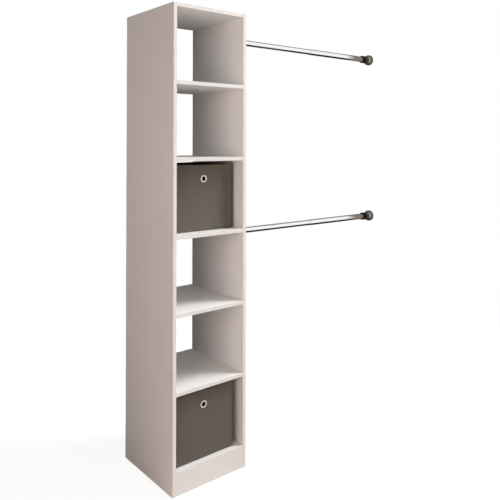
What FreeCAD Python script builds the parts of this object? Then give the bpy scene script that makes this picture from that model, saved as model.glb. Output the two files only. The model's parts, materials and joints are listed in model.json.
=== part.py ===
import FreeCAD, Part
import math
import os

# Open wardrobe tower with two extending clothes rails and two fabric boxes.
# Millimetres, +Z up, front towards -Y. The origin is on the floor under the middle of the whole unit:
# the tower stands at the left end, and the rails run along +X from its right side to a wall.

# Tower boards
tower_width = 380.0
tower_depth = 405.0
board = 16.0
compartment_height = 304.0
compartment_count = 6
plinth_height = 84.0
plinth_setback = 1.0
plinth_floor_gap = 3.0
shelf_setback = 1.0
band_thickness = 1.0
band_rounding = 0.6

# Fits of pieces that stay together, and how near an edge must be to a place to count as there
fit_clearance = 0.05
seat_clearance = 0.1
edge_tolerance = 0.01

# Fittings in the board ends
side_skin = 5.0
dowel_diameter = 8.0
dowel_in_board = 23.0
dowel_inset = 125.0
cam_diameter = 15.0
cam_roof = 3.4
cam_recess = 0.6
cam_inset = 24.0
cam_edge_inset = 65.0
cam_slot_diameter = 8.0
bolt_thread_diameter = 5.0
bolt_rod_diameter = 5.0
bolt_head_diameter = 7.0
bolt_head_length = 3.0
bolt_bore_diameter = 8.0
cap_diameter = 18.0
cap_thickness = 0.8

# Floor glides
glide_height = 3.0
glide_margin = 1.0
glide_inset = 40.0
glide_pin_diameter = 2.5
glide_pin_length = 12.0

# Wall anchor under the top panel
anchor_width = 34.0
anchor_leg = 30.0
anchor_thickness = 2.0
anchor_hole_diameter = 6.0
anchor_screw_spacing = 18.0

# Wood screws
screw_shank_diameter = 4.0
screw_head_diameter = 8.0
screw_hole_diameter = 4.5
screw_skin = 3.0

# Clothes rails
rail_reach = 1104.0
upper_rail_drop = 70.0
lower_rail_drop = 29.0
lower_rail_shelf = 3
inner_tube_diameter = 28.2
inner_tube_wall = 1.0
outer_tube_wall = 0.8
tube_gap = 0.6
mouth_distance = 600.0
tube_overlap = 150.0
running_clearance = 0.05
bushing_length = 18.0
bushing_lip = 1.5
plug_head_length = 6.0
plug_stem_length = 14.0

# Rail end fittings
plate_thickness = 3.0
plate_screw_count = 3
plate_gap = 1.0
head_margin = 0.75
sleeve_wall = 2.5
sleeve_length = 22.0
cover_depth = 26.0
cover_wall = 1.5
cover_dome = 18.0
cover_neck = 18.0
neck_step = 1.5
collar_wall = 5.5
collar_length = 27.0
collar_rounding = 2.0
grub_diameter = 4.0

# Fabric boxes, placed in compartments counted from the top
upper_box_compartment = 3
lower_box_compartment = 6
box_side_play = 40.0
box_depth_play = 100.0
box_top_gap = 16.0
upper_box_left_gap = 21.0
upper_box_setback = 58.0
lower_box_left_gap = 1.5
lower_box_setback = 26.5
box_rounding = 5.0
cover_fabric = 1.2
wall_board = 2.0
lining_fabric = 0.8
base_board = 3.0
base_gap = 1.0
binding_height = 14.0
binding_fabric = 0.8
eyelet_diameter = 32.5
eyelet_hole_diameter = 20.0
eyelet_drop = 62.0
eyelet_crown = 2.2
eyelet_barrel_wall = 0.8
eyelet_washer = 1.0

# Places that follow from the sizes above
overall_length = tower_width + rail_reach
tower_left = -overall_length / 2
tower_right = tower_left + tower_width
wall_x = overall_length / 2
inner_left = tower_left + board
inner_right = tower_right - board
tower_middle = (tower_left + tower_right) / 2
front = -tower_depth / 2
rear = tower_depth / 2
pitch = compartment_height + board
levels = [plinth_height + board + pitch * i for i in range(compartment_count + 1)]
tower_top = levels[-1]
cam_rows = (front + cam_edge_inset, rear - cam_edge_inset)
dowel_rows = (front + dowel_inset, rear - dowel_inset)
hole_depth_in_side = board - side_skin
outer_tube_diameter = inner_tube_diameter + 2 * (tube_gap + outer_tube_wall)
outer_tube_bore = outer_tube_diameter - 2 * outer_tube_wall
collar_diameter = outer_tube_diameter + 2 * collar_wall
screw_ring_width = screw_head_diameter + 2 * head_margin
cover_diameter = outer_tube_diameter + 2 * (sleeve_wall + screw_ring_width + plate_gap + cover_wall)
upper_rail_z = tower_top - board - upper_rail_drop
lower_rail_z = levels[compartment_count - lower_rail_shelf] - board - lower_rail_drop
rail_heights = {"upper": upper_rail_z, "lower": lower_rail_z}
upper_box_floor = levels[compartment_count - upper_box_compartment]
lower_box_floor = levels[compartment_count - lower_box_compartment]


def vector(x, y, z):
    return FreeCAD.Vector(x, y, z)


def block(x0, x1, y0, y1, z0, z1):
    """Square block between two corners."""
    return Part.makeBox(x1 - x0, y1 - y0, z1 - z0, vector(x0, y0, z0))


def rounded_block(x0, x1, y0, y1, z0, z1, radius):
    """Block whose four upright edges are rounded."""
    solid = block(x0, x1, y0, y1, z0, z1)
    upright = [e for e in solid.Edges if abs(e.tangentAt(e.FirstParameter).z) > 0.5]
    return solid.makeFillet(radius, upright)


def rod(diameter, start, end):
    """Round bar from one point to another."""
    return Part.makeCylinder(diameter / 2, start.distanceToPoint(end), start, end - start)


def rod_x(diameter, x0, x1, y, z):
    return rod(diameter, vector(x0, y, z), vector(x1, y, z))


def ring_x(outer_diameter, inner_diameter, x0, x1):
    """Tube along X, centred on the X axis."""
    return rod_x(outer_diameter, x0, x1, 0, 0).cut(rod_x(inner_diameter, x0, x1, 0, 0))


def turned_x(edges):
    """Solid turned about the X axis from the edges of a closed outline in the XY plane."""
    face = Part.Face(Part.Wire(edges))
    return face.revolve(vector(0, 0, 0), vector(1, 0, 0), 360)


def outline(points):
    """Straight edges round a closed list of (along, radius) points."""
    corners = [vector(x, r, 0) for x, r in points]
    return [Part.LineSegment(a, b).toShape() for a, b in zip(corners, corners[1:] + corners[:1])]


def countersunk_screw(head_top, shank_end, across):
    """Wood screw from its flat head to its tip, with a cone under the head; across is its axis direction."""
    head_height = (screw_head_diameter - screw_shank_diameter) / 2
    axis = across.normalize()
    cone = Part.makeCone(screw_head_diameter / 2, screw_shank_diameter / 2, head_height, head_top, axis)
    return cone.fuse(rod(screw_shank_diameter, head_top + axis * head_height, shank_end)).removeSplitter()


def countersink(head_top, axis):
    """Cutter for a countersunk screw hole through a thin plate."""
    head_height = (screw_head_diameter - screw_shank_diameter) / 2
    widen = screw_hole_diameter - screw_shank_diameter
    return Part.makeCone(
        (screw_head_diameter + widen) / 2, screw_hole_diameter / 2, head_height, head_top, axis.normalize()
    )


def move(shape, x, y, z):
    placed = shape.copy()
    placed.translate(vector(x, y, z))
    return placed


def board_ends():
    """Both ends of every level board: side panel face, direction inwards, height of the middle."""
    for level in levels:
        for face_x, inward in ((inner_left, 1), (inner_right, -1)):
            yield face_x, inward, level - board / 2


def plinth_ends():
    """Dowel places at both ends of the plinth board."""
    middle_y = front + plinth_setback + board / 2
    quarter = (plinth_height - plinth_floor_gap) / 4
    for face_x, inward in ((inner_left, 1), (inner_right, -1)):
        for z in (plinth_floor_gap + quarter, plinth_height - quarter):
            yield face_x, inward, middle_y, z


def dowel_places():
    for face_x, inward, z in board_ends():
        for y in dowel_rows:
            yield face_x, inward, y, z
    yield from plinth_ends()


def cam_places():
    for face_x, inward, z in board_ends():
        for y in cam_rows:
            yield face_x, inward, y, z


def dowel_holes(face_filter, z0, z1):
    """Dowel holes that reach into boards between two heights, at the ends that the filter accepts."""
    wide = dowel_diameter + 2 * fit_clearance
    holes = []
    for face_x, inward, y, z in dowel_places():
        if face_filter(face_x) and z0 < z < z1:
            outer = face_x - inward * (hole_depth_in_side + fit_clearance)
            inner = face_x + inward * (dowel_in_board + fit_clearance)
            holes.append(rod_x(wide, outer, inner, y, z))
    return holes


def bolt_holes(face_filter):
    """Threaded holes for the connecting bolts in a side panel."""
    wide = bolt_thread_diameter + 2 * fit_clearance
    return [
        rod_x(wide, x - inward * hole_depth_in_side, x, y, z)
        for x, inward, y, z in cam_places()
        if face_filter(x)
    ]


def sleeve_diameter(tube_diameter):
    return tube_diameter + 2 * sleeve_wall


def plate_screw_places(tube_diameter):
    """Screw places on the plate of one tube, in a ring round its sleeve, the first one above the axis."""
    radius = (sleeve_diameter(tube_diameter) + screw_ring_width) / 2
    for i in range(plate_screw_count):
        angle = math.pi / 2 + 2 * math.pi * i / plate_screw_count
        yield radius * math.cos(angle), radius * math.sin(angle)


def glide_places():
    for x in (tower_left + board / 2, tower_right - board / 2):
        for y in (front + glide_inset, rear - glide_inset):
            yield x, y


def glide_pin_holes(x0, x1):
    wide = glide_pin_diameter + 2 * fit_clearance
    top = glide_height + glide_pin_length + fit_clearance
    return [
        rod(wide, vector(x, y, glide_height), vector(x, y, top))
        for x, y in glide_places()
        if x0 < x < x1
    ]


def side_panel(x0, x1, inner_face):
    panel = block(x0, x1, front + band_thickness, rear, glide_height, tower_top)
    cutters = dowel_holes(lambda x: x == inner_face, glide_height, tower_top)
    cutters += bolt_holes(lambda x: x == inner_face)
    cutters += glide_pin_holes(x0, x1)
    return panel.cut(cutters)


def rail_screw_holes():
    """Pilot holes in the right side panel for the screws of the inner tubes' plates."""
    wide = screw_shank_diameter + 2 * fit_clearance
    deep = board - screw_skin + fit_clearance
    return [
        rod_x(wide, tower_right - deep, tower_right, y, rail_z + z)
        for rail_z in rail_heights.values()
        for y, z in plate_screw_places(inner_tube_diameter)
    ]


def level_board(top):
    """Board between the sides, bored at both ends for dowels, connecting bolts and cam housings."""
    bottom = top - board
    solid = block(inner_left, inner_right, front + shelf_setback + band_thickness, rear, bottom, top)
    cutters = dowel_holes(lambda x: True, bottom, top)
    wide = cam_diameter + 2 * fit_clearance
    for face_x, inward, y, z in cam_places():
        if bottom < z < top:
            cam_x = face_x + inward * cam_inset
            cutters.append(rod_x(bolt_bore_diameter, face_x, cam_x, y, z))
            cutters.append(rod(wide, vector(cam_x, y, bottom), vector(cam_x, y, top - cam_roof)))
    return solid.cut(cutters)


def anchor_screw_places():
    middle_y = rear - (anchor_leg + anchor_thickness) / 2
    for side in (-1, 1):
        yield tower_middle + side * anchor_screw_spacing / 2, middle_y


def top_panel():
    """Uppermost board, with pilot holes for the wall anchor's screws."""
    underside = tower_top - board
    wide = screw_shank_diameter + 2 * fit_clearance
    tip = tower_top - screw_skin + fit_clearance
    pilots = [rod(wide, vector(x, y, underside), vector(x, y, tip)) for x, y in anchor_screw_places()]
    return level_board(tower_top).cut(pilots)


def plinth_board():
    y0 = front + plinth_setback
    solid = block(inner_left, inner_right, y0, y0 + board, plinth_floor_gap, plinth_height)
    return solid.cut(dowel_holes(lambda x: True, plinth_floor_gap, plinth_height))


def edge_band(x0, x1, y0, z0, z1):
    """Strip glued on a board's front edge, with its two long front edges rounded."""
    strip = block(x0, x1, y0, y0 + band_thickness, z0, z1)
    longest = max(x1 - x0, z1 - z0)
    long_front = [
        e for e in strip.Edges
        if abs(e.Length - longest) < edge_tolerance and abs(e.CenterOfMass.y - y0) < edge_tolerance
    ]
    return strip.makeFillet(band_rounding, long_front)


def side_edge_bands():
    return Part.makeCompound([
        edge_band(x0, x0 + board, front, glide_height, tower_top) for x0 in (tower_left, inner_right)
    ])


def shelf_edge_bands():
    y0 = front + shelf_setback
    return Part.makeCompound([edge_band(inner_left, inner_right, y0, z - board, z) for z in levels])


def dowels():
    return Part.makeCompound([
        rod_x(dowel_diameter, x - inward * hole_depth_in_side, x + inward * dowel_in_board, y, z)
        for x, inward, y, z in dowel_places()
    ])


def cam_bolt(face_x, inward, y, z):
    """Connecting bolt: thread in the side panel, rod in the board's end and head in the cam."""
    head_x = face_x + inward * cam_inset
    thread = rod_x(bolt_thread_diameter, face_x - inward * (hole_depth_in_side - fit_clearance), face_x, y, z)
    stem = rod_x(bolt_rod_diameter, face_x, head_x - inward * bolt_head_length, y, z)
    head = rod_x(bolt_head_diameter, head_x - inward * bolt_head_length, head_x, y, z)
    return thread.fuse([stem, head]).removeSplitter()


def cam_lock(face_x, inward, y, z):
    """Eccentric housing in the board's underside, with the slot that takes the bolt's head."""
    cam_x = face_x + inward * cam_inset
    bottom = z - board / 2
    body = rod(
        cam_diameter, vector(cam_x, y, bottom + cam_recess), vector(cam_x, y, bottom + board - cam_roof)
    )
    slot = rod_x(cam_slot_diameter, cam_x - inward * cam_diameter, cam_x, y, z)
    seat = Part.makeSphere(cam_slot_diameter / 2, vector(cam_x, y, z))
    return body.cut([slot, seat])


def cam_cap(face_x, inward, y, z):
    """Flat cap that covers a cam housing, with a stub that sits in the bore."""
    cam_x = face_x + inward * cam_inset
    bottom = z - board / 2
    disc = rod(cap_diameter, vector(cam_x, y, bottom - cap_thickness), vector(cam_x, y, bottom))
    stub = rod(cam_diameter - seat_clearance, vector(cam_x, y, bottom), vector(cam_x, y, bottom + cam_recess))
    return disc.fuse(stub).removeSplitter()


def at_every_cam(make):
    return Part.makeCompound([make(*place) for place in cam_places()])


def floor_glide(x, y):
    """Nailed glide: a round foot under the side panel and its pin in the panel."""
    foot = rod(board - 2 * glide_margin, vector(x, y, 0), vector(x, y, glide_height))
    pin_top = glide_height + glide_pin_length
    pin = rod(glide_pin_diameter, vector(x, y, glide_height), vector(x, y, pin_top))
    return foot.fuse(pin).removeSplitter()


def floor_glides():
    return Part.makeCompound([floor_glide(x, y) for x, y in glide_places()])


def anchor_hole_z():
    return tower_top - board - (anchor_leg + anchor_thickness) / 2


def wall_anchor_bracket():
    """Angle against tipping: one leg under the top panel, one leg against the wall."""
    x0 = tower_middle - anchor_width / 2
    x1 = tower_middle + anchor_width / 2
    top = tower_top - board
    flat_leg = block(x0, x1, rear - anchor_leg, rear, top - anchor_thickness, top)
    wall_leg = block(x0, x1, rear - anchor_thickness, rear, top - anchor_leg, top)
    hole_z = anchor_hole_z()
    wall_hole = rod(
        anchor_hole_diameter,
        vector(tower_middle, rear - anchor_thickness, hole_z),
        vector(tower_middle, rear, hole_z),
    )
    cutters = [wall_hole]
    for x, y in anchor_screw_places():
        underside = vector(x, y, top - anchor_thickness)
        cutters.append(rod(screw_hole_diameter, underside, vector(x, y, top)))
        cutters.append(countersink(underside, vector(0, 0, 1)))
    return flat_leg.fuse(wall_leg).removeSplitter().cut(cutters)


def wall_anchor_screws():
    top = tower_top - board
    return Part.makeCompound([
        countersunk_screw(
            vector(x, y, top - anchor_thickness), vector(x, y, tower_top - screw_skin), vector(0, 0, 1)
        )
        for x, y in anchor_screw_places()
    ])


def rail_plate(tube_diameter):
    """Screwed socket: a round plate with a sleeve that takes the tube's end."""
    around_sleeve = sleeve_diameter(tube_diameter)
    plate = rod_x(around_sleeve + 2 * screw_ring_width, 0, plate_thickness, 0, 0)
    sleeve = rod_x(around_sleeve, plate_thickness, sleeve_length, 0, 0)
    bore = rod_x(tube_diameter + 2 * seat_clearance, plate_thickness, sleeve_length, 0, 0)
    cutters = [bore]
    for y, z in plate_screw_places(tube_diameter):
        cutters.append(rod_x(screw_hole_diameter, 0, plate_thickness, y, z))
        cutters.append(countersink(vector(plate_thickness, y, z), vector(-1, 0, 0)))
    return plate.fuse(sleeve).removeSplitter().cut(cutters)


def dome(base_radius, neck_radius, depth):
    """Turned solid: a cylinder that rounds in to the neck radius over the dome's length."""
    drop = base_radius - neck_radius
    curve_radius = (cover_dome ** 2 + drop ** 2) / (2 * drop)
    start = vector(depth - cover_dome, base_radius, 0)
    end = vector(depth, neck_radius, 0)
    half_angle = math.asin(cover_dome / curve_radius) / 2
    middle = vector(
        start.x + curve_radius * math.sin(half_angle),
        base_radius - curve_radius * (1 - math.cos(half_angle)),
        0,
    )
    return turned_x([
        Part.LineSegment(vector(0, 0, 0), vector(0, base_radius, 0)).toShape(),
        Part.LineSegment(vector(0, base_radius, 0), start).toShape(),
        Part.Arc(start, middle, end).toShape(),
        Part.LineSegment(end, vector(depth, 0, 0)).toShape(),
        Part.LineSegment(vector(depth, 0, 0), vector(0, 0, 0)).toShape(),
    ])


def rail_cover(tube_diameter):
    """Domed rosette that hides the plate and its screws, with a short neck round the tube."""
    shell = dome(cover_diameter / 2, collar_diameter / 2, cover_depth)
    neck = rod_x(collar_diameter - 2 * neck_step, cover_depth - cover_wall, collar_start(), 0, 0)
    inside = dome(cover_diameter / 2 - cover_wall, collar_diameter / 2 - cover_wall, cover_depth - cover_wall)
    hole = rod_x(tube_diameter + 2 * seat_clearance, 0, collar_start(), 0, 0)
    return shell.fuse(neck).removeSplitter().cut([inside, hole])


def collar_start():
    return cover_depth + cover_neck


def collar_end():
    return collar_start() + collar_length


def grub_x():
    return collar_start() + collar_length / 2


def rail_collar(tube_diameter):
    """Clamping ring in front of the rosette, rounded at its free end, with a grub screw hole below."""
    body = rod_x(collar_diameter, collar_start(), collar_end(), 0, 0)
    rim = [e for e in body.Edges if abs(e.CenterOfMass.x - collar_end()) < edge_tolerance]
    body = body.makeFillet(collar_rounding, rim)
    bore = rod_x(tube_diameter + 2 * seat_clearance, collar_start(), collar_end(), 0, 0)
    hole = rod(
        grub_diameter + 2 * fit_clearance, vector(grub_x(), 0, 0), vector(grub_x(), 0, -collar_diameter)
    )
    return body.cut([bore, hole])


def rail_grub(tube_diameter):
    """Grub screw that clamps the tube, flush with the collar."""
    tip = vector(grub_x(), 0, -tube_diameter / 2 - fit_clearance)
    return rod(grub_diameter, tip, vector(grub_x(), 0, -collar_diameter / 2 + seat_clearance))


def plate_screws():
    """Countersunk screws of the tower's plate, along -X into the side panel."""
    tip_x = screw_skin - board
    return Part.makeCompound([
        countersunk_screw(vector(plate_thickness, y, z), vector(tip_x, y, z), vector(-1, 0, 0))
        for y, z in plate_screw_places(inner_tube_diameter)
    ])


def inner_tube_end():
    return mouth_distance + tube_overlap


def inner_tube():
    bore = inner_tube_diameter - 2 * inner_tube_wall
    return ring_x(inner_tube_diameter, bore, plate_thickness, inner_tube_end())


def rail_plug():
    """Guide plug in the inner tube's free end; its head runs in the outer tube's bore."""
    end = inner_tube_end()
    head = rod_x(outer_tube_bore - 2 * running_clearance, end, end + plug_head_length, 0, 0)
    stem_diameter = inner_tube_diameter - 2 * inner_tube_wall - 2 * fit_clearance
    stem = rod_x(stem_diameter, end - plug_stem_length, end, 0, 0)
    return head.fuse(stem).removeSplitter()


def outer_tube():
    return ring_x(outer_tube_diameter, outer_tube_bore, mouth_distance, rail_reach - plate_thickness)


def rail_bushing():
    """Guide ring in the outer tube's mouth, with a lip that covers the tube's end."""
    bore = inner_tube_diameter + 2 * running_clearance
    lip_x = mouth_distance - bushing_lip
    lip = ring_x(outer_tube_diameter, bore, lip_x, mouth_distance)
    skirt = ring_x(outer_tube_bore - 2 * fit_clearance, bore, mouth_distance, mouth_distance + bushing_length)
    return lip.fuse(skirt).removeSplitter()


def rail_nodes(name, z):
    """All pieces of one rail, made about the X axis from the tower's side and then set in place."""
    def at_tower(shape):
        return move(shape, tower_right, 0, z)

    def at_wall(shape):
        turned = shape.copy()
        turned.rotate(vector(0, 0, 0), vector(0, 0, 1), 180)
        return move(turned, wall_x, 0, z)

    return {
        name + "_rail_tower_plate": at_tower(rail_plate(inner_tube_diameter)),
        name + "_rail_tower_screws": at_tower(plate_screws()),
        name + "_rail_tower_cover": at_tower(rail_cover(inner_tube_diameter)),
        name + "_rail_tower_collar": at_tower(rail_collar(inner_tube_diameter)),
        name + "_rail_tower_grub": at_tower(rail_grub(inner_tube_diameter)),
        name + "_rail_inner_tube": at_tower(inner_tube()),
        name + "_rail_plug": at_tower(rail_plug()),
        name + "_rail_outer_tube": at_tower(outer_tube()),
        name + "_rail_bushing": at_tower(rail_bushing()),
        name + "_rail_wall_plate": at_wall(rail_plate(outer_tube_diameter)),
        name + "_rail_wall_cover": at_wall(rail_cover(outer_tube_diameter)),
        name + "_rail_wall_collar": at_wall(rail_collar(outer_tube_diameter)),
        name + "_rail_wall_grub": at_wall(rail_grub(outer_tube_diameter)),
    }


class FabricBox:
    """One open fabric box: stiff boards between an outer cover and a lining, bound at the rim."""

    def __init__(self, left_gap, setback, floor):
        self.x0 = inner_left + left_gap
        self.x1 = inner_right - (box_side_play - left_gap)
        self.y0 = front + setback
        self.y1 = rear - (box_depth_play - setback)
        self.floor = floor
        self.top = floor + compartment_height - box_top_gap
        self.wall = cover_fabric + wall_board + lining_fabric
        self.eyelet_x = (self.x0 + self.x1) / 2
        self.eyelet_z = self.top - eyelet_drop

    def layer(self, inset, z0, z1):
        """Rounded block of the box's outline, drawn in by an inset."""
        radius = max(box_rounding - inset, lining_fabric)
        return rounded_block(
            self.x0 + inset, self.x1 - inset, self.y0 + inset, self.y1 - inset, z0, z1, radius
        )

    def finger_hole(self):
        """Cutter for the eyelet's barrel through the whole front wall."""
        wide = eyelet_hole_diameter + 2 * (eyelet_barrel_wall + fit_clearance)
        start = vector(self.eyelet_x, self.y0 - self.wall, self.eyelet_z)
        return rod(wide, start, start + vector(0, 3 * self.wall, 0))

    def cover(self):
        rim = self.top - binding_fabric
        inside = self.layer(cover_fabric, self.floor + cover_fabric, rim)
        return self.layer(0, self.floor, rim).cut([inside, self.finger_hole()])

    def wall_boards(self):
        z0 = self.floor + cover_fabric
        z1 = self.top - binding_fabric
        near = cover_fabric
        deep = cover_fabric + wall_board
        corner = max(box_rounding, deep)
        boards = []
        for y in (self.y0 + near, self.y1 - deep):
            boards.append(block(self.x0 + corner, self.x1 - corner, y, y + wall_board, z0, z1))
        for x in (self.x0 + near, self.x1 - deep):
            boards.append(block(x, x + wall_board, self.y0 + corner, self.y1 - corner, z0, z1))
        boards[0] = boards[0].cut(self.finger_hole())
        return Part.makeCompound(boards)

    def lining(self):
        rim = self.top - binding_fabric
        z0 = self.floor + cover_fabric
        inset = cover_fabric + wall_board
        inside = self.layer(self.wall, z0 + lining_fabric, rim)
        return self.layer(inset, z0, rim).cut([inside, self.finger_hole()])

    def base(self):
        z0 = self.floor + cover_fabric + lining_fabric
        return self.layer(self.wall + base_gap, z0, z0 + base_board)

    def rim_binding(self):
        """Tape folded over the rim: a channel that holds the three layers of the wall."""
        z0 = self.top - binding_height
        outside = self.layer(-binding_fabric, z0, self.top)
        opening = self.layer(self.wall + binding_fabric, z0, self.top)
        walls = self.layer(0, z0, self.top - binding_fabric)
        walls = walls.cut(self.layer(self.wall, z0, self.top - binding_fabric))
        return outside.cut([opening, walls])

    def eyelet(self):
        """Front half of the eyelet: a crowned flange and a barrel through the wall."""
        outer = eyelet_diameter / 2
        inner = eyelet_hole_diameter / 2
        barrel = inner + eyelet_barrel_wall
        middle = vector(-eyelet_crown, (outer + inner) / 2, 0)
        crown = Part.Arc(vector(0, outer, 0), middle, vector(0, inner, 0))
        corners = [vector(0, inner, 0), vector(self.wall, inner, 0), vector(self.wall, barrel, 0)]
        corners += [vector(0, barrel, 0), vector(0, outer, 0)]
        edges = [crown.toShape()]
        edges += [Part.LineSegment(a, b).toShape() for a, b in zip(corners, corners[1:])]
        return self.through_front(turned_x(edges))

    def eyelet_back(self):
        """Washer that closes the eyelet inside the box."""
        outer = eyelet_diameter / 2
        barrel = eyelet_hole_diameter / 2
        return self.through_front(turned_x(outline([
            (self.wall, barrel),
            (self.wall + eyelet_washer, barrel),
            (self.wall + eyelet_washer, outer),
            (self.wall, outer),
        ])))

    def through_front(self, turned):
        """Turns a piece made about X to point into the box through its front wall."""
        piece = turned.copy()
        piece.rotate(vector(0, 0, 0), vector(0, 0, 1), 90)
        return move(piece, self.eyelet_x, self.y0, self.eyelet_z)


def box_nodes(name, box):
    return {
        name + "_box_cover": box.cover(),
        name + "_box_wall_boards": box.wall_boards(),
        name + "_box_lining": box.lining(),
        name + "_box_base_board": box.base(),
        name + "_box_rim_binding": box.rim_binding(),
        name + "_box_eyelet": box.eyelet(),
        name + "_box_eyelet_washer": box.eyelet_back(),
    }


def tower_nodes():
    nodes = {
        "left_side_panel": side_panel(tower_left, inner_left, inner_left),
        "right_side_panel": side_panel(inner_right, tower_right, inner_right).cut(rail_screw_holes()),
        "top_panel": top_panel(),
        "bottom_panel": level_board(levels[0]),
        "plinth_board": plinth_board(),
        "side_edge_bands": side_edge_bands(),
        "shelf_edge_bands": shelf_edge_bands(),
        "dowels": dowels(),
        "cam_bolts": at_every_cam(cam_bolt),
        "cam_locks": at_every_cam(cam_lock),
        "cam_caps": at_every_cam(cam_cap),
        "floor_glides": floor_glides(),
        "wall_anchor_bracket": wall_anchor_bracket(),
        "wall_anchor_screws": wall_anchor_screws(),
    }
    for i, level in enumerate(levels[1:-1], start=1):
        nodes["shelf_%d" % (compartment_count - i)] = level_board(level)
    return nodes


def all_nodes():
    nodes = tower_nodes()
    for name, z in rail_heights.items():
        nodes.update(rail_nodes(name, z))
    nodes.update(box_nodes("upper", FabricBox(upper_box_left_gap, upper_box_setback, upper_box_floor)))
    nodes.update(box_nodes("lower", FabricBox(lower_box_left_gap, lower_box_setback, lower_box_floor)))
    return nodes


os.makedirs("parts", exist_ok=True)
for node_name, node_shape in all_nodes().items():
    if not node_shape.isValid():
        raise ValueError(node_name + " is not a valid shape")
    node_shape.exportStep("parts/" + node_name + ".step")
    print(node_name, len(node_shape.Solids), "solids", round(node_shape.Volume), "mm3")
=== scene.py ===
import json
import math

import bpy
from mathutils import Matrix, Vector


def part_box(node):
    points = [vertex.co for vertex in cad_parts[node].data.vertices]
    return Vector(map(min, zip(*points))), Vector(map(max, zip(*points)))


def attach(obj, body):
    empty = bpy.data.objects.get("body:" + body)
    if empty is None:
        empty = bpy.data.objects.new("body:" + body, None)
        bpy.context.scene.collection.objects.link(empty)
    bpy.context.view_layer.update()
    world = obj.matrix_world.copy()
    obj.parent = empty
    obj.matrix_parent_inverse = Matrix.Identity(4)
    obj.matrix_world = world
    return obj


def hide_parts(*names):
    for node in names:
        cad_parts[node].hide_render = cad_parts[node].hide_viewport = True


# Open wardrobe tower with two extending clothes rails and two fabric boxes.
# Metres, +Z up, front towards -Y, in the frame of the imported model.

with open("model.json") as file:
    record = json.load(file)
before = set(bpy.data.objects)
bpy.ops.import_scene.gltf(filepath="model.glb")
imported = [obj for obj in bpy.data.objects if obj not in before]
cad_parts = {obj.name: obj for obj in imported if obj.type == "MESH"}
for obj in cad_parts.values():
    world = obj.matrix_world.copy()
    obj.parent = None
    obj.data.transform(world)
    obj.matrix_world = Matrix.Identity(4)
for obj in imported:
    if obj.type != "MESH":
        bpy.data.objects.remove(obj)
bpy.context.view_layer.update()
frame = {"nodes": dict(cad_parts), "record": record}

LEVELS = ("upper", "lower")
AXIS_X = 0
AXIS_Z = 2
SQUARE = ((-1, -1), (1, -1), (1, 1), (-1, 1))
PURE_WHITE = (1.0, 1.0, 1.0)
SMOOTH_ANGLE = math.radians(40)

# Camera: turned to the right of +Y, almost level, with the lens shifted down
CAMERA_PLACE = (-2.0263, -2.2606, 1.4387)
CAMERA_YAW = math.radians(39.346)
CAMERA_PITCH = math.radians(0.70)
CAMERA_ROLL = math.radians(0.067)
CAMERA_LENS_MM = 42.508
CAMERA_SENSOR_MM = 36.0
CAMERA_SHIFT_UP = -0.2271

# Studio light: four soft lamps, and a dome that is bright in front of and above the object
# and dim behind it. A ramp's stops are places on its range, each with a tone.
DOME_TILT = math.radians(28)
DOME = ((0.45, (0.02, 0.02, 0.02)), (0.57, (0.17, 0.17, 0.176)), (0.85, (0.33, 0.33, 0.342)))
LAMPS = {
    "key_light": {
        "place": (4.3, -3.25, 3.9), "target": (-0.55, -0.1, 0.9),
        "size": (1.6, 3.4), "power": 122.0, "tone": (1.0, 0.99, 0.985),
    },
    "top_light": {
        "place": (2.0, -1.6, 5.0), "target": (-0.55, -0.1, 1.0),
        "size": (1.6, 1.6), "power": 190.0, "tone": (0.965, 1.0, 1.0),
    },
    "side_light": {
        "place": (-2.75, -1.3, 1.4), "target": (-0.74, -0.1, 1.0),
        "size": (1.5, 1.5), "power": 24.8, "tone": (1.0, 0.80, 0.715),
    },
    "rear_light": {
        "place": (-0.1, 4.2, 1.3), "target": (-0.55, 0.2, 1.1),
        "size": (0.9, 1.2), "power": 28.0, "tone": (1.0, 0.985, 0.97),
    },
}

# Floor: what it sends back to the object in front of it and behind it, and what the eye sees
FLOOR_SIZE = 40.0
FLOOR_DROP = 0.0003
FLOOR_FRONT = (0.66, 0.58, 0.51)
FLOOR_REAR = (0.06, 0.055, 0.05)
FLOOR_TURN = (-0.20, 0.22)
FLOOR_GLOW = 0.86
FLOOR_SHADE = (0.26, 0.26, 0.26)
FLOOR_FADE = (1.2, 3.0)

# What only metal sees, all painted reflections: the floor painted dark under and behind the
# # rails, painted shade on the wall at their ends, and a ceiling painted darker behind and above
MIRROR_TURN = (-0.35, 0.05)
MIRROR_SIDE = (-0.45, -0.30)
MIRROR_FORWARD = 1.25
MIRROR_FLOOR = (0.020, 0.018, 0.016)
WALL_SHADE_REACH = 0.25
WALL_SHADE_FADE = (0.13, 0.22)
WALL_SHADE = (0.235, 0.205, 0.175)
CEILING_TOWARDS = (0.0, 0.6, 0.8)
CEILING = ((0.40, PURE_WHITE), (0.60, (0.44, 0.395, 0.35)))

# Cloth boxes: cloth and tape
BOX_CORNER = 0.006
BOTTOM_FOLD = 0.004
UNDERSIDE_LIFT = 0.0002
COVER_CLOTH = 0.0030
COVER_FLOOR = 0.0012
LINING_CLOTH = 0.0010
LINING_FLOOR = 0.0008
BOX_WALL = COVER_CLOTH + LINING_CLOTH
TAPE = 0.0008
TAPE_HEIGHT = 0.014
TAPE_GAP = 0.00005

# Cloth boxes: how finely they are drawn
WALL_STEPS = 40
CORNER_STEPS = 6
FOLD_STEPS = 5
HEIGHT_STEPS = 34
TAPE_ARCH_STEPS = 6
EYELET_BORE_SIDES = 48

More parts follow.
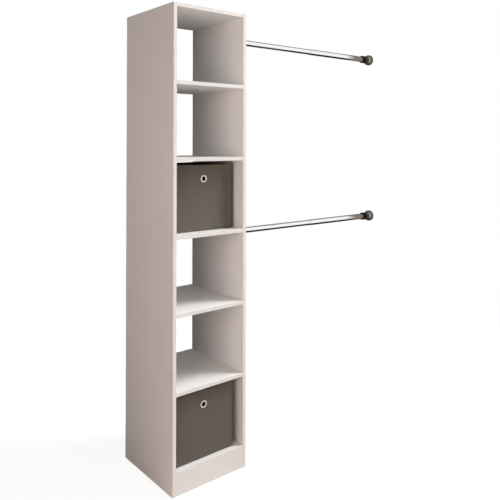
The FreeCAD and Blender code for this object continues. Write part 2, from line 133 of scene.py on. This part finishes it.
# Cloth boxes: how the walls (front, right, rear, left) stand out of their planes.
# Each wave has its turns along the wall, its turns up the wall and its shift from wall to wall.
FRONT_WALL = 0
WALL_BOWS = (0.0010, 0.0020, 0.0016, 0.0006)
BOW_ACROSS_POWER = 1.5
BOW_HEIGHT_POWER = 0.8
WALL_RIPPLES = (0.00025, 0.00025, 0.00025, 0.00006)
WALL_WAVES = ((2.3, 0.9, 0.37), (0.8, -1.7, 0.21))
RIM_DIP = 0.0012
SEAM_RIDGE = 0.0007
SEAM_MIDDLE = 0.5
SEAM_WIDTH = 0.35
EYELET_FLAT = 0.019
EYELET_BLEND = 0.045
EYELET_PUCKER = 0.0004
EYELET_PUCKER_AT = 0.024
EYELET_PUCKER_WIDTH = 0.006
EYELET_BORE = 0.01085

# Stitches: each is drawn through rings, given by a share of its length, a width and a rise
# in thread radii
STITCH_PITCH = 0.0050
STITCH_LENGTH = 0.0034
STITCH_RADIUS = 0.00032
STITCH_SIDES = 5
STITCH_RINGS = ((-0.5, 0.4, -0.9), (-0.25, 1.0, 0.2), (0.25, 1.0, 0.2), (0.5, 0.4, -0.9))
TAPE_STITCH_DROP = 0.0112
BOTTOM_STITCH_RISE = 0.0075
CORNER_STITCH_INSET = 0.0055
SEAM_END = 0.018
OUTSIDE = 1.0
INSIDE = -1.0

# Finishes: tones, and the middle range of a texture's values
WHITE = (0.837, 0.824, 0.812)
BOX_CLOTH = (0.134, 0.116, 0.096)
# Edge tint of the chrome: black, a painted dark reflection that darkens the tubes towards their
# edges
CHROME_RIM = (0.0, 0.0, 0.0)
TEXTURE_LOW = 0.3
TEXTURE_HIGH = 0.7
UPRIGHT_NODES = ("left_side_panel", "right_side_panel")


def add_node(tree, kind, inputs, **settings):
    """One more node; each input is a constant or another node's output."""
    made = tree.nodes.new("ShaderNode" + kind)
    for name, value in settings.items():
        setattr(made, name, value)
    for socket, value in inputs.items():
        if isinstance(value, bpy.types.NodeSocket):
            tree.links.new(value, made.inputs[socket])
        else:
            made.inputs[socket].default_value = value
    return made


def calculated(tree, operation, first, second):
    return add_node(tree, "Math", {0: first, 1: second}, operation=operation).outputs["Value"]


def measured(tree, operation, first, second=(0.0, 0.0, 0.0)):
    """Number from one or two vectors, such as a length, a distance or a dot product."""
    return add_node(
        tree, "VectorMath", {0: first, 1: second}, operation=operation
    ).outputs["Value"]


def eased(tree, value, start, end, top=1.0):
    """Rises smoothly from 0 to the top while a value goes from the start to the end."""
    inputs = {"Value": value, "From Min": start, "From Max": end, "To Max": top}
    return add_node(tree, "MapRange", inputs, interpolation_type="SMOOTHSTEP").outputs["Result"]


def tone_ramp(tree, value, stops):
    """Colour that follows a value through stops, each a place on the range and a tone."""
    ramp = add_node(tree, "ValToRGB", {"Fac": value})
    elements = ramp.color_ramp.elements
    for position, _ in stops[1:-1]:
        elements.new(position)
    for element, (position, tone) in zip(elements, stops):
        element.position = position
        element.color = (*tone, 1.0)
    return ramp.outputs["Color"]


def mixed(tree, share, first, second):
    """Shader that goes from the first to the second while a share goes from 0 to 1."""
    return add_node(tree, "MixShader", {0: share, 1: first, 2: second}).outputs[0]


def matt(tree, tone):
    return add_node(tree, "BsdfDiffuse", {"Color": (*tone, 1.0)}).outputs[0]


def glow(tree, tone, strength=1.0):
    return add_node(tree, "Emission", {"Color": (*tone, 1.0), "Strength": strength}).outputs[0]


def seen_directly(tree):
    """1 for the rays that are shown the background, from eye, metal or glass, and otherwise 0."""
    paths = add_node(tree, "LightPath", {}).outputs
    shown = calculated(tree, "MAXIMUM", paths["Is Camera Ray"], paths["Is Glossy Ray"])
    return calculated(tree, "MAXIMUM", shown, paths["Is Transmission Ray"])


def seen_in_metal(tree):
    return add_node(tree, "LightPath", {}).outputs["Is Glossy Ray"]


class Surface:
    """Principled material whose colour, roughness and relief vary by textures in metres."""

    def __init__(self, name, constants):
        self.material = bpy.data.materials.new(name)
        self.material.use_nodes = True
        self.tree = self.material.node_tree
        self.shader = self.tree.nodes["Principled BSDF"]
        self.normal = None
        for socket, value in constants.items():
            self.shader.inputs[socket].default_value = value

    def node(self, kind, inputs):
        return add_node(self.tree, kind, inputs)

    def place(self, per_metre):
        """Place on the piece, scaled by axis, so that a texture can be drawn out along one."""
        place = self.node("TexCoord", {}).outputs["Object"]
        return self.node("Mapping", {"Vector": place, "Scale": per_metre}).outputs["Vector"]

    def noise(self, per_metre, detail=3.0):
        inputs = {"Vector": self.place(per_metre), "Scale": 1.0, "Detail": detail}
        return self.node("TexNoise", inputs).outputs["Fac"]

    def cells(self, per_metre):
        inputs = {"Vector": self.place(per_metre), "Scale": 1.0}
        return self.node("TexVoronoi", inputs).outputs["Distance"]

    def colour(self, value, dark, light, start=TEXTURE_LOW, end=TEXTURE_HIGH):
        """Base colour that goes from a dark to a light tone over part of a texture's range."""
        tone = tone_ramp(self.tree, value, ((start, dark), (end, light)))
        self.tree.links.new(tone, self.shader.inputs["Base Color"])

    def mottle(self, value, tone, low, high, **span):
        """Base colour between two strengths of one tone."""
        self.colour(value, scaled(tone, low), scaled(tone, high), **span)

    def roughness(self, value, low, high):
        spread = self.node("MapRange", {
            "Value": value, "From Min": TEXTURE_LOW, "From Max": TEXTURE_HIGH,
            "To Min": low, "To Max": high,
        })
        self.tree.links.new(spread.outputs["Result"], self.shader.inputs["Roughness"])

    def bump(self, height, depth):
        """Relief of a texture, this many metres deep, on top of any relief given before."""
        relief = self.node("Bump", {"Height": height, "Distance": depth})
        if self.normal:
            self.tree.links.new(self.normal, relief.inputs["Normal"])
        self.normal = relief.outputs["Normal"]
        self.tree.links.new(self.normal, self.shader.inputs["Normal"])


def even(per_metre):
    """Texture scale that is the same along all axes."""
    return (per_metre, per_metre, per_metre)


def drawn_out(axis, across, along):
    """Texture scale that has its own value along one axis."""
    scale = [across] * 3
    scale[axis] = along
    return scale


def scaled(tone, factor):
    return tuple(min(1.0, channel * factor) for channel in tone)


def melamine(name, tone, axis):
    """White board decor with a faint grain along one axis and a fine pressed texture."""
    surface = Surface(name, {"IOR": 1.45, "Specular IOR Level": 0.35})
    grain = surface.noise(drawn_out(axis, across=80, along=1.4), detail=4.0)
    surface.mottle(grain, tone, low=0.985, high=1.005)
    pores = surface.noise(drawn_out(axis, across=700, along=16), detail=5.0)
    surface.roughness(pores, low=0.40, high=0.50)
    surface.bump(pores, depth=0.00006)
    return surface.material


def plastic(name, tone, roughness):
    """Moulded or extruded plastic with a fine grain."""
    surface = Surface(name, {"IOR": 1.46, "Specular IOR Level": 0.4})
    surface.mottle(surface.noise(even(40)), tone, low=0.96, high=1.02)
    grain = surface.noise(even(1800), detail=2.0)
    surface.roughness(grain, low=roughness, high=roughness + 0.08)
    surface.bump(grain, depth=0.00003)
    return surface.material


def chrome(name, tone):
    """Polished plate with faint draw marks along the tube."""
    # The black edge tint paints dark reflections along the tube's edges
    surface = Surface(name, {"Metallic": 1.0, "Specular Tint": (*CHROME_RIM, 1.0)})
    marks = surface.noise(drawn_out(AXIS_X, across=900, along=9), detail=4.0)
    clouds = surface.noise(drawn_out(AXIS_X, across=60, along=14))
    surface.mottle(clouds, tone, low=0.97, high=1.0)
    surface.roughness(marks, low=0.02, high=0.05)
    return surface.material


def turned_metal(name, tone, roughness, metallic, specular=0.5):
    """Metal turned about the rail's axis, with fine rings round it."""
    surface = Surface(name, {"Metallic": metallic, "Specular IOR Level": specular})
    rings = surface.noise(drawn_out(AXIS_X, across=6, along=2600))
    surface.mottle(surface.noise(even(120)), tone, low=0.86, high=1.08)
    surface.roughness(rings, low=roughness, high=roughness + 0.12)
    surface.bump(rings, depth=0.00002)
    return surface.material


def zinc(name, tone):
    """Zinc-plated steel with a cloudy crystal pattern."""
    surface = Surface(name, {"Metallic": 1.0})
    surface.mottle(surface.cells(even(420)), tone, low=0.8, high=1.1, start=0.1, end=0.6)
    surface.roughness(surface.noise(even(300)), low=0.28, high=0.46)
    return surface.material


def timber(name, dark, light, axis):
    """Turned hardwood with its grain along one axis."""
    surface = Surface(name, {"IOR": 1.5, "Specular IOR Level": 0.3})
    grain = surface.noise(drawn_out(axis, across=900, along=25), detail=5.0)
    surface.colour(grain, dark, light)
    surface.roughness(grain, low=0.5, high=0.7)
    surface.bump(grain, depth=0.0001)
    return surface.material


def cloth(name, tone):
    """Pressed non-woven cloth: mottled fibres and a close dimple pattern."""
    surface = Surface(name, {
        "Specular IOR Level": 0.15, "Sheen Weight": 0.12, "Sheen Roughness": 0.6,
    })
    fibres = surface.noise(even(1100), detail=4.0)
    surface.mottle(surface.noise(even(160), detail=6.0), tone, low=0.93, high=1.07)
    surface.roughness(fibres, low=0.82, high=0.95)
    surface.bump(surface.cells(even(620)), depth=0.00022)
    surface.bump(fibres, depth=0.00010)
    return surface.material


def card(name, tone):
    """Grey board with short paper fibres."""
    surface = Surface(name, {"Specular IOR Level": 0.2})
    fibres = surface.noise((500, 180, 500), detail=5.0)
    surface.mottle(fibres, tone, low=0.88, high=1.1)
    surface.roughness(fibres, low=0.8, high=0.95)
    surface.bump(fibres, depth=0.00006)
    return surface.material


MATERIALS = {
    "white_board": melamine("white_board_level", WHITE, AXIS_X),
    "edge_band": plastic("white_edge_band", scaled(WHITE, 1.02), roughness=0.36),
    "white_plastic": plastic("white_plastic", scaled(WHITE, 0.98), roughness=0.45),
    "beech": timber("beech", (0.42, 0.27, 0.15), (0.62, 0.44, 0.27), AXIS_X),
    "zinc": zinc("zinc_plate", (0.62, 0.62, 0.60)),
    "chrome_tube": chrome("chrome_tube", (0.95, 0.945, 0.935)),
    "nickel": turned_metal("satin_nickel", (0.34, 0.315, 0.28), roughness=0.42, metallic=1.0),
    "dark_collar": turned_metal(
        "dark_bronze", (0.010, 0.008, 0.006), roughness=0.36, metallic=0.2, specular=0.22
    ),
    "grey_plastic": plastic("grey_plastic", (0.62, 0.61, 0.59), roughness=0.35),
    "box_fabric": cloth("box_cloth", BOX_CLOTH),
    "box_lining": cloth("box_lining_cloth", (0.105, 0.090, 0.074)),
    "grey_board": card("grey_card", (0.30, 0.28, 0.25)),
    "eyelet_metal": turned_metal(
        "eyelet_nickel", (0.86, 0.84, 0.79), roughness=0.32, metallic=0.8
    ),
}
UPRIGHT_BOARD = melamine("white_board_upright", WHITE, AXIS_Z)
THREAD = cloth("box_thread", (0.112, 0.096, 0.079))
# Lit and shaded copies of one box cloth: painted light makes the upper box's cloth lighter and
# painted shade makes the lower box's darker
BOX_CLOTH_LIT_AND_SHADED = {
    "upper": cloth("upper_box_cloth_painted_light", scaled(BOX_CLOTH, 1.07)),
    "lower": cloth("lower_box_cloth_painted_shade", scaled(BOX_CLOTH, 0.92)),
}


def paint(piece, material):
    if not piece.material_slots:
        piece.data.materials.append(material)
    for slot in piece.material_slots:
        slot.material = material


def dress_nodes():
    """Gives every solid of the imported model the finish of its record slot."""
    for part in frame["record"]["subparts"]:
        name = part["node"]
        upright = name in UPRIGHT_NODES
        material = UPRIGHT_BOARD if upright else MATERIALS[part["material_slot"]]
        paint(frame["nodes"][name], material)


def new_piece(name, points, faces, material):
    mesh = bpy.data.meshes.new(name)
    mesh.from_pydata(points, [], faces)
    mesh.validate()
    piece = bpy.data.objects.new(name, mesh)
    bpy.context.scene.collection.objects.link(piece)
    paint(piece, material)
    return piece


def smooth(piece):
    piece.data.shade_smooth()
    piece.data.set_sharp_from_angle(angle=SMOOTH_ANGLE)


def loft(name, rings, material, closed):
    """Skin through rings of equally many points; a closed one joins its last to its first."""
    count = len(rings[0])
    points = [point for ring in rings for point in ring]
    faces = []
    spans = len(rings) if closed else len(rings) - 1
    for i in range(spans):
        here = i * count
        above = (i + 1) % len(rings) * count
        for k in range(count):
            step = (k + 1) % count
            faces.append((here + k, here + step, above + step, above + k))
    if not closed:
        faces.append(tuple(reversed(range(count))))
        faces.append(tuple((len(rings) - 1) * count + k for k in range(count)))
    piece = new_piece(name, points, faces, material)
    smooth(piece)
    return piece


def cut_hole(piece, centre, radius, depth):
    """Bores a round hole along Y through a piece."""
    sides = EYELET_BORE_SIDES
    points = []
    for y in (centre.y - depth, centre.y + depth):
        for k in range(sides):
            angle = 2 * math.pi * k / sides
            x = centre.x + radius * math.cos(angle)
            points.append((x, y, centre.z + radius * math.sin(angle)))
    faces = [(k, sides + k, sides + (k + 1) % sides, (k + 1) % sides) for k in range(sides)]
    faces += [tuple(range(sides)), tuple(reversed(range(sides, 2 * sides)))]
    cutter = new_piece("cutter", points, faces, piece.material_slots[0].material)
    boolean = piece.modifiers.new("hole", "BOOLEAN")
    boolean.object = cutter
    boolean.solver = "EXACT"
    evaluated = piece.evaluated_get(bpy.context.evaluated_depsgraph_get())
    bored = bpy.data.meshes.new_from_object(evaluated)
    piece.modifiers.clear()
    piece.data = bored
    bpy.data.objects.remove(cutter)
    smooth(piece)


class Station:
    """One stop on the way round a box: plain place, outward direction, wall and place on it."""

    def __init__(self, place, outward, wall, share, turn):
        self.place = place
        self.outward = outward
        self.wall = wall
        self.share = share
        self.turn = turn


class SoftBox:
    """One cloth box drawn where its solids are: stiff walls, lining, bound rim and stitches."""

    def __init__(self, name):
        self.name = name
        self.body = name + "_box"
        self.low, self.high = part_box(self.body + "_cover")
        eyelet_low, eyelet_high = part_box(self.body + "_eyelet")
        self.eyelet = (eyelet_low + eyelet_high) / 2
        self.floor = self.low.z
        self.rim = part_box(self.body + "_rim_binding")[1].z - TAPE
        self.tall = self.rim - self.floor
        self.stations = list(self.walk_round())

    def walk_round(self):
        """Stations from the front left corner, along the front and on round the box."""
        low, high, r = self.low, self.high, BOX_CORNER
        centres = [
            Vector((low.x + r, low.y + r)),
            Vector((high.x - r, low.y + r)),
            Vector((high.x - r, high.y - r)),
            Vector((low.x + r, high.y - r)),
        ]
        quarter = math.pi / 2
        for wall, start in enumerate(centres):
            end = centres[(wall + 1) % len(centres)]
            facing = (wall - 1) * quarter
            outward = Vector((math.cos(facing), math.sin(facing)))
            for k in range(WALL_STEPS):
                share = k / WALL_STEPS
                place = start.lerp(end, share) + outward * r
                yield Station(place, outward, wall, share, 0.0)
            for k in range(CORNER_STEPS):
                turn = k / CORNER_STEPS
                angle = facing + quarter * turn
                outward = Vector((math.cos(angle), math.sin(angle)))
                yield Station(end + outward * r, outward, wall, 1.0, turn)

    def swell(self, station, height):
        """How far the cloth stands out of its plain wall at a station and a share of height."""
        wall, share = station.wall, station.share
        if station.turn > 0:
            return SEAM_RIDGE * math.exp(-((station.turn - SEAM_MIDDLE) / SEAM_WIDTH) ** 2)
        across = math.sin(math.pi * share)
        upwards = math.sin(math.pi * min(1.0, height) ** BOW_HEIGHT_POWER)
        bow = WALL_BOWS[wall] * across ** BOW_ACROSS_POWER * upwards
        waves = sum(
            math.sin(2 * math.pi * (along * share + up * height + shift * wall))
            for along, up, shift in WALL_WAVES
        )
        out = bow + WALL_RIPPLES[wall] * across * waves
        if wall == FRONT_WALL:
            out = self.settle_at_eyelet(out, station, height)
        return out

    def settle_at_eyelet(self, out, station, height):
        """Flattens the front wall under the eyelet and draws it in a little round it."""
        rise = self.floor + height * self.tall - self.eyelet.z
        distance = math.hypot(station.place.x - self.eyelet.x, rise)
        share = min(1.0, max(0.0, (distance - EYELET_FLAT) / (EYELET_BLEND - EYELET_FLAT)))
        from_pucker = (distance - EYELET_PUCKER_AT) / EYELET_PUCKER_WIDTH
        pucker = EYELET_PUCKER * math.exp(-from_pucker ** 2)
        return out * share ** 2 * (3 - 2 * share) - pucker

    def ring(self, inset, height, lift=0.0):
        """Closed line inset from the outer cloth, at a share of the height and a lift above it."""
        points = []
        for station in self.stations:
            place = station.place + station.outward * (self.swell(station, height) - inset)
            dip = RIM_DIP * math.sin(math.pi * station.share) ** 2
            points.append(Vector((*place, self.floor + height * (self.tall - dip) + lift)))
        return points

    def wall_rings(self, inset, upwards):
        foot = BOTTOM_FOLD / self.tall
        heights = [foot + (1 - foot) * i / HEIGHT_STEPS for i in range(HEIGHT_STEPS + 1)]
        return [self.ring(inset, h) for h in (heights if upwards else reversed(heights))]

    def shell(self, name, outer, inner, outer_floor, inner_floor, material):
        """Open cup between two insets, folded round at the bottom and bored for the eyelet."""
        fold = BOTTOM_FOLD - outer_floor
        rings = []
        for i in range(FOLD_STEPS):
            angle = math.pi / 2 * i / FOLD_STEPS
            inset = outer + fold * (1 - math.sin(angle))
            rings.append(self.ring(inset, 0.0, outer_floor + fold * (1 - math.cos(angle))))
        rings += self.wall_rings(outer, upwards=True)
        rings += self.wall_rings(inner, upwards=False)
        rings.append(self.ring(inner, 0.0, inner_floor))
        piece = loft(self.body + name, rings, material, closed=False)
        centre = Vector((self.eyelet.x, self.low.y, self.eyelet.z))
        cut_hole(piece, centre, EYELET_BORE, 2 * BOX_WALL)
        return piece

    def rim_tape(self, material):
        """Tape folded over the rim, as a channel round the top of the wall."""
        radius = BOX_WALL / 2 + TAPE
        profile = [(-TAPE, TAPE_HEIGHT), (-TAPE, TAPE_HEIGHT / 2)]
        for i in range(TAPE_ARCH_STEPS + 1):
            angle = math.pi * i / TAPE_ARCH_STEPS
            drop = TAPE * (1 - 2 * math.sin(angle))
            profile.append((BOX_WALL / 2 - radius * math.cos(angle), drop))
        profile += [(BOX_WALL + TAPE, TAPE_HEIGHT / 2), (BOX_WALL + TAPE, TAPE_HEIGHT)]
        profile += [(BOX_WALL + TAPE_GAP, TAPE_HEIGHT), (BOX_WALL + TAPE_GAP, TAPE_GAP)]
        profile += [(-TAPE_GAP, TAPE_GAP), (-TAPE_GAP, TAPE_HEIGHT)]
        rings = [
            self.ring(inset, 1.0 - max(0.0, drop) / self.tall, max(0.0, -drop))
            for inset, drop in profile
        ]
        return loft(self.body + "_rim_tape", rings, material, closed=True)

    def stitching(self, material):
        """All stitches: round the tape inside and out, round the bottom and up the corners."""
        seams = Stitches()
        rim = 1.0 - TAPE_STITCH_DROP / self.tall
        seams.sew_round(self.ring(-TAPE, rim), OUTSIDE)
        seams.sew_round(self.ring(BOX_WALL + TAPE, rim), INSIDE)
        seams.sew_round(self.ring(0.0, BOTTOM_STITCH_RISE / self.tall), OUTSIDE)
        for first in range(0, len(self.stations), WALL_STEPS + CORNER_STEPS):
            self.sew_up(seams, self.stations[first], CORNER_STITCH_INSET)
            self.sew_up(seams, self.stations[first + WALL_STEPS], -CORNER_STITCH_INSET)
        return seams.piece(self.body + "_stitching", material)

    def sew_up(self, seams, station, aside):
        """Upright seam on a wall, to one side of the station at its end."""
        along = Vector((-station.outward.y, station.outward.x))
        place = station.place + along * aside
        foot = Vector((*place, self.floor + SEAM_END))
        head = Vector((*place, self.rim - SEAM_END))
        seams.sew_line(foot, head, Vector((*station.outward, 0.0)))

    def build(self):
        """Makes the pieces of the box and sets them on its body in place of the soft solids."""
        # Cover cloth with painted light or shade: lighter on the upper box, darker on the lower
        finish = BOX_CLOTH_LIT_AND_SHADED[self.name]
        cover = self.shell(
            "_cloth_cover", 0.0, COVER_CLOTH, UNDERSIDE_LIFT, COVER_FLOOR, finish
        )
        lining = self.shell(
            "_cloth_lining", COVER_CLOTH, BOX_WALL, COVER_FLOOR, COVER_FLOOR + LINING_FLOOR,
            MATERIALS["box_lining"],
        )
        tape = self.rim_tape(finish)
        thread = self.stitching(THREAD)
        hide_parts(self.body + "_cover", self.body + "_wall_boards")
        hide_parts(self.body + "_lining")
        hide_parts(self.body + "_rim_binding")
        slots = (
            (cover, "box_fabric"),
            (lining, "box_lining"),
            (tape, "box_fabric"),
            (thread, "box_fabric"),
        )
        for piece, slot in slots:
            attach(piece, self.body)


class Stitches:
    """Collects short thread loops and makes them into one piece."""

    def __init__(self):
        self.points = []
        self.faces = []

    def add(self, middle, along, outward):
        """One stitch: a short bar that rises out of the cloth and dips into it at both ends."""
        side = along.cross(outward)
        first = len(self.points)
        for share, width, rise in STITCH_RINGS:
            centre = middle + along * share * STITCH_LENGTH + outward * rise * STITCH_RADIUS
            for k in range(STITCH_SIDES):
                angle = 2 * math.pi * k / STITCH_SIDES
                round_it = side * math.cos(angle) + outward * math.sin(angle)
                self.points.append(centre + round_it * width * STITCH_RADIUS)
        last = len(self.points) - STITCH_SIDES
        for here in range(first, last, STITCH_SIDES):
            for k in range(STITCH_SIDES):
                a = here + k
                b = here + (k + 1) % STITCH_SIDES
                self.faces.append((a, b, b + STITCH_SIDES, a + STITCH_SIDES))
        self.faces.append(tuple(reversed(range(first, first + STITCH_SIDES))))
        self.faces.append(tuple(range(last, last + STITCH_SIDES)))

    def sew_line(self, start, end, outward):
        count = int((end - start).length / STITCH_PITCH)
        along = (end - start).normalized()
        for i in range(count):
            self.add(start.lerp(end, (i + 0.5) / count), along, outward)

    def sew_round(self, line, facing):
        """Even stitches round a closed line, on its outside or its inside."""
        spare = 0.0
        for start, end in zip(line, line[1:] + line[:1]):
            span = (end - start).length
            along = (end - start).normalized()
            outward = along.cross(Vector((0, 0, facing))).normalized()
            while spare < span:
                self.add(start + along * spare, along, outward)
                spare += STITCH_PITCH
            spare -= span

    def piece(self, name, material):
        made = new_piece(name, self.points, self.faces, material)
        smooth(made)
        return made


def make_camera():
    data = bpy.data.cameras.new("camera")
    data.lens = CAMERA_LENS_MM
    data.sensor_width = CAMERA_SENSOR_MM
    data.shift_y = CAMERA_SHIFT_UP
    camera = bpy.data.objects.new("camera", data)
    bpy.context.scene.collection.objects.link(camera)
    yaw = Matrix.Rotation(-CAMERA_YAW, 4, "Z")
    pitch = Matrix.Rotation(math.pi / 2 + CAMERA_PITCH, 4, "X")
    roll = Matrix.Rotation(CAMERA_ROLL, 4, "Z")
    camera.matrix_world = Matrix.Translation(CAMERA_PLACE) @ yaw @ pitch @ roll
    bpy.context.scene.camera = camera


def add_lamp(name, place, target, size, power, tone):
    """Soft lamp that lights the object and is seen neither by the eye nor in metal."""
    data = bpy.data.lights.new(name, "AREA")
    data.shape = "RECTANGLE"
    data.size, data.size_y = size
    data.energy = power
    data.color = tone
    lamp = bpy.data.objects.new(name, data)
    lamp.location = place
    towards = Vector(target) - Vector(place)
    lamp.rotation_euler = towards.to_track_quat("-Z", "Y").to_euler()
    lamp.visible_camera = False
    lamp.visible_glossy = False
    bpy.context.scene.collection.objects.link(lamp)


def make_world():
    """Dome of light. The eye sees plain white in its place, and metal a ceiling painted darker
    behind and above, a painted reflection.
    """
    world = bpy.data.worlds.new("studio")
    world.use_nodes = True
    tree = world.node_tree
    tree.nodes.clear()
    towards = add_node(tree, "TexCoord", {}).outputs["Generated"]
    front = (0.0, -math.cos(DOME_TILT), math.sin(DOME_TILT))
    facing = measured(tree, "DOT_PRODUCT", towards, front)
    span = {"Value": facing, "From Min": -1.0, "From Max": 1.0}
    share = add_node(tree, "MapRange", span).outputs["Result"]
    rise = measured(tree, "DOT_PRODUCT", towards, CEILING_TOWARDS)
    dome = add_node(tree, "Background", {"Color": tone_ramp(tree, share, DOME)})
    white = add_node(tree, "Background", {"Color": (*PURE_WHITE, 1.0)})
    ceiling = add_node(tree, "Background", {"Color": tone_ramp(tree, rise, CEILING)})
    shown = mixed(tree, seen_in_metal(tree), white.outputs[0], ceiling.outputs[0])
    surface = mixed(tree, seen_directly(tree), dome.outputs[0], shown)
    add_node(tree, "OutputWorld", {"Surface": surface})
    bpy.context.scene.world = world


def empty_material(name):
    material = bpy.data.materials.new(name)
    material.use_nodes = True
    material.node_tree.nodes.clear()
    return material


def floor_material():
    """Pale floor: white where it is lit or far away, with the object's soft shadow on it."""
    material = empty_material("pale_floor")
    tree = material.node_tree
    place = add_node(tree, "TexCoord", {}).outputs["Object"]
    axes = add_node(tree, "SeparateXYZ", {"Vector": place}).outputs
    behind = eased(tree, axes["Y"], *FLOOR_TURN)
    bounce = mixed(tree, behind, matt(tree, FLOOR_FRONT), matt(tree, FLOOR_REAR))
    lit = {0: matt(tree, FLOOR_SHADE), 1: glow(tree, PURE_WHITE, FLOOR_GLOW)}
    near = add_node(tree, "AddShader", lit).outputs[0]
    fade = eased(tree, measured(tree, "LENGTH", place), *FLOOR_FADE)
    seen = mixed(tree, fade, near, glow(tree, PURE_WHITE))
    # Painted reflection: metal sees a dark glow on the floor behind a line that runs further
    # forward under the rails
    forward = eased(tree, axes["X"], *MIRROR_SIDE, top=MIRROR_FORWARD)
    under = eased(tree, calculated(tree, "ADD", axes["Y"], forward), *MIRROR_TURN)
    mirrored = calculated(tree, "MULTIPLY", under, seen_in_metal(tree))
    shown = mixed(tree, mirrored, seen, glow(tree, MIRROR_FLOOR))
    surface = mixed(tree, seen_directly(tree), bounce, shown)
    add_node(tree, "OutputMaterial", {"Surface": surface})
    return material


def add_wall_shade():
    """Backdrop that shows only in metal: glowing brown patches of painted shade on the wall where
    the rails run into it.
    """
    material = empty_material("shaded_wall")
    tree = material.node_tree
    place = add_node(tree, "TexCoord", {}).outputs["Object"]
    shade = glow(tree, WALL_SHADE)
    shown = add_node(tree, "BsdfTransparent", {}).outputs[0]
    points = []
    for level in LEVELS:
        low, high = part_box(level + "_rail_wall_cover")
        middle = (low + high) / 2
        distance = measured(tree, "DISTANCE", place, (high.x, middle.y, middle.z))
        shown = mixed(tree, eased(tree, distance, *WALL_SHADE_FADE), shade, shown)
        for side, rise in SQUARE:
            y = middle.y + side * WALL_SHADE_REACH
            points.append((high.x, y, middle.z + rise * WALL_SHADE_REACH))
    add_node(tree, "OutputMaterial", {"Surface": shown})
    sheet = new_piece("wall_shade", points, [(0, 1, 2, 3), (4, 5, 6, 7)], material)
    sheet.visible_camera = False
    sheet.visible_diffuse = False
    sheet.visible_transmission = False
    sheet.visible_volume_scatter = False
    sheet.visible_shadow = False


def make_studio():
    make_world()
    half = FLOOR_SIZE / 2
    corners = [(side * half, depth * half, -FLOOR_DROP) for side, depth in SQUARE]
    new_piece("floor", corners, [(0, 1, 2, 3)], floor_material())
    for name, settings in LAMPS.items():
        add_lamp(name, **settings)
    add_wall_shade()


dress_nodes()
for box_name in LEVELS:
    SoftBox(box_name).build()
make_studio()
make_camera()
bpy.context.scene.view_settings.view_transform = "Standard"
